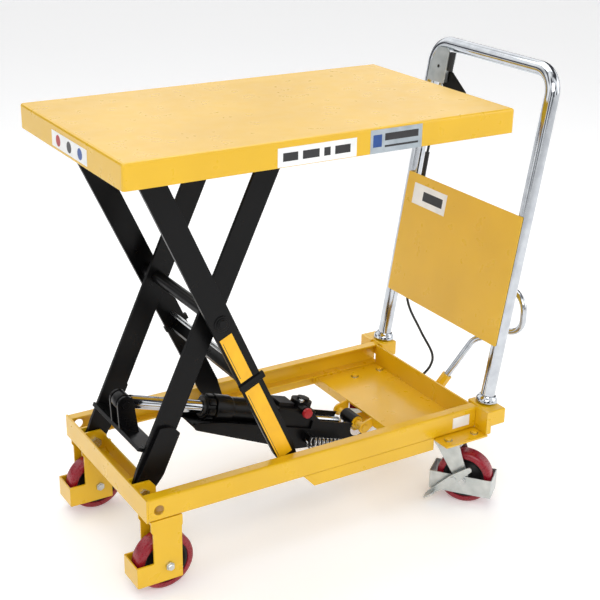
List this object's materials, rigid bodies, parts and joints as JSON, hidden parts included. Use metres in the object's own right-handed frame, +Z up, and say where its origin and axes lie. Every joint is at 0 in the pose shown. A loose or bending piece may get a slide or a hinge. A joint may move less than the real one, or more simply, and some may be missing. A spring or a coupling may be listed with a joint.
{
  "type": "scissor lift table",
  "caption": "Mobile hydraulic scissor lift table: steel deck on crossed arms over a base frame with braked casters, foot pump, hand release and push handle.",
  "frame": {"origin": "centre of the overall box, at floor level", "axes": "+X from the load end of the deck to the push handle, +Y to the right of an operator who stands at the handle and faces the deck, +Z up"},
  "size_m": [1.0198, 0.5746, 0.9758],
  "materials": {
    "yellow_paint": "semi-gloss yellow paint",
    "black_paint": "gloss black paint",
    "chrome": "polished plating",
    "zinc": "bright zinc plating",
    "polyurethane": "cast red polyurethane tread on a black hub",
    "steel": "plain steel",
    "cable_sheath": "black sheath"
  },
  "bodies": {
    "base": {"side_beam_left": "yellow_paint", "side_beam_right": "yellow_paint", "front_cross_member": "yellow_paint", "rear_tray": "yellow_paint", "rear_corner_left": "yellow_paint", "rear_corner_right": "yellow_paint", "arm_pivot_bolt_left": "zinc", "arm_pivot_bolt_right": "zinc", "front_bracket_left": "yellow_paint", "front_bracket_right": "yellow_paint", "front_axle_left": "zinc", "front_axle_right": "zinc", "caster_plate_left": "zinc", "caster_plate_right": "zinc", "handle_tube": "chrome", "handle_collar_left": "chrome", "handle_collar_right": "chrome", "back_panel": "yellow_paint", "release_bracket": "zinc", "release_cable": "cable_sheath"},
    "front_wheel_left": {"front_wheel_left": "polyurethane"},
    "caster_left": {"caster_fork_left": "zinc", "caster_guard_left": "zinc", "caster_axle_left": "zinc"},
    "rear_wheel_left": {"rear_wheel_left": "polyurethane"},
    "brake_left": {"brake_pedal_left": "zinc"},
    "front_wheel_right": {"front_wheel_right": "polyurethane"},
    "caster_right": {"caster_fork_right": "zinc", "caster_guard_right": "zinc", "caster_axle_right": "zinc"},
    "rear_wheel_right": {"rear_wheel_right": "polyurethane"},
    "brake_right": {"brake_pedal_right": "zinc"},
    "inner_arms": {"inner_arm_left": "black_paint", "inner_arm_right": "black_paint", "centre_shaft": "black_paint", "cylinder_bracket": "black_paint"},
    "outer_arms": {"outer_arm_left": "black_paint", "outer_arm_right": "black_paint", "outer_cross_bar": "black_paint", "tie_rod": "zinc"},
    "top_roller_left": {"top_roller_left": "steel"},
    "base_roller_left": {"base_roller_left": "steel"},
    "top_roller_right": {"top_roller_right": "steel"},
    "base_roller_right": {"base_roller_right": "steel"},
    "table": {"table_top": "yellow_paint", "table_rail_left": "yellow_paint", "table_rail_right": "yellow_paint", "table_hinge_left": "yellow_paint", "table_hinge_right": "yellow_paint"},
    "rod": {"piston_rod": "chrome"},
    "pump_unit": {"cylinder_tube": "black_paint", "gland_nut": "black_paint", "pump_body": "black_paint", "pump_cradle": "black_paint", "return_spring": "steel"},
    "plunger": {"pump_plunger": "chrome"},
    "valve": {"valve_lever": "zinc"},
    "pedal": {"pedal_lever": "yellow_paint", "foot_pedal": "chrome"},
    "release": {"release_lever": "black_paint"}
  },
  "joints": [
    {"name": "lift", "type": "hinge", "parent": "base", "child": "inner_arms", "pos_m": [-0.442, 0, 0.195], "axis": [0, 1, 0], "range_deg": [0, 55.98]},
    {"name": "scissor", "type": "hinge", "parent": "inner_arms", "child": "outer_arms", "pos_m": [-0.282, 0, 0.542], "axis": [0, 1, 0], "range_deg": [-112.16, 0]},
    {"name": "table_level", "type": "hinge", "parent": "outer_arms", "child": "table", "pos_m": [-0.442, 0, 0.889], "axis": [0, 1, 0], "range_deg": [0, 56.08]},
    {"name": "rod_swing", "type": "hinge", "parent": "inner_arms", "child": "rod", "pos_m": [-0.424, 0, 0.337], "axis": [0, 1, 0], "range_deg": [-60.94, 0]},
    {"name": "ram", "type": "slide", "parent": "rod", "child": "pump_unit", "axis": [0.95, 0, -0.3122], "range_m": [-0.1266, 0]},
    {"name": "top_roller_spin_left", "type": "hinge", "parent": "inner_arms", "child": "top_roller_left", "pos_m": [-0.122, -0.1355, 0.889], "axis": [0, 1, 0], "continuous": true},
    {"name": "base_roller_spin_left", "type": "hinge", "parent": "outer_arms", "child": "base_roller_left", "pos_m": [-0.122, -0.194, 0.195], "axis": [0, 1, 0], "continuous": true},
    {"name": "top_roller_spin_right", "type": "hinge", "parent": "inner_arms", "child": "top_roller_right", "pos_m": [-0.122, 0.1355, 0.889], "axis": [0, 1, 0], "continuous": true},
    {"name": "base_roller_spin_right", "type": "hinge", "parent": "outer_arms", "child": "base_roller_right", "pos_m": [-0.122, 0.194, 0.195], "axis": [0, 1, 0], "continuous": true},
    {"name": "front_wheel_spin_left", "type": "hinge", "parent": "base", "child": "front_wheel_left", "pos_m": [-0.4233, -0.1764, 0.0625], "axis": [0, 1, 0], "continuous": true},
    {"name": "caster_swivel_left", "type": "hinge", "parent": "base", "child": "caster_left", "pos_m": [0.289, -0.184, 0.15], "axis": [0, 0, 1], "continuous": true},
    {"name": "rear_wheel_spin_left", "type": "hinge", "parent": "caster_left", "child": "rear_wheel_left", "pos_m": [0.3152, -0.21682, 0.0625], "axis": [0.7815, 0.6239, 0], "continuous": true},
    {"name": "brake_left", "type": "hinge", "parent": "caster_left", "child": "brake_left", "pos_m": [0.27271, -0.22771, 0.0665], "axis": [-0.7815, -0.6239, 0], "range_deg": [0, 8], "stiffness_Nm_per_rad": 4, "springref_deg": -11.46},
    {"name": "front_wheel_spin_right", "type": "hinge", "parent": "base", "child": "front_wheel_right", "pos_m": [-0.4233, 0.1764, 0.0625], "axis": [0, 1, 0], "continuous": true},
    {"name": "caster_swivel_right", "type": "hinge", "parent": "base", "child": "caster_right", "pos_m": [0.289, 0.184, 0.15], "axis": [0, 0, 1], "continuous": true},
    {"name": "rear_wheel_spin_right", "type": "hinge", "parent": "caster_right", "child": "rear_wheel_right", "pos_m": [0.3152, 0.21682, 0.0625], "axis": [-0.7815, 0.6239, 0], "continuous": true},
    {"name": "brake_right", "type": "hinge", "parent": "caster_right", "child": "brake_right", "pos_m": [0.27271, 0.22771, 0.0665], "axis": [0.7815, -0.6239, 0], "range_deg": [0, 8], "stiffness_Nm_per_rad": 4, "springref_deg": -11.46},
    {"name": "pedal", "type": "hinge", "parent": "base", "child": "pedal", "pos_m": [0.145, 0, 0.15], "axis": [0, 1, 0], "range_deg": [0, 12], "stiffness_Nm_per_rad": 30, "springref_deg": -28.65},
    {"name": "plunger_stroke", "type": "slide", "parent": "pump_unit", "child": "plunger", "axis": [0.95, 0, -0.3122], "range_m": [-0.0085, 0]},
    {"name": "release_squeeze", "type": "hinge", "parent": "base", "child": "release", "pos_m": [0.4807, 0.168, 0.9037], "axis": [-0.9868, 0, 0.162], "range_deg": [0, 15], "stiffness_Nm_per_rad": 1.5, "springref_deg": -17.19},
    {"name": "valve_turn", "type": "hinge", "parent": "pump_unit", "child": "valve", "pos_m": [-0.0033, -0.04, 0.22084], "axis": [0, 1, 0], "range_deg": [0, 15.2]}
  ],
  "couplings": [
    {"joint": "scissor", "follows": "lift", "ratio": -2},
    {"joint": "table_level", "follows": "lift", "ratio": 1},
    {"joint": "rod_swing", "follows": "lift", "ratio": -1.085},
    {"joint": "ram", "follows": "lift", "m_per_rad": -0.12925},
    {"joint": "plunger_stroke", "follows": "pedal", "m_per_rad": -0.04},
    {"joint": "valve_turn", "follows": "release_squeeze", "ratio": 1}
  ]
}
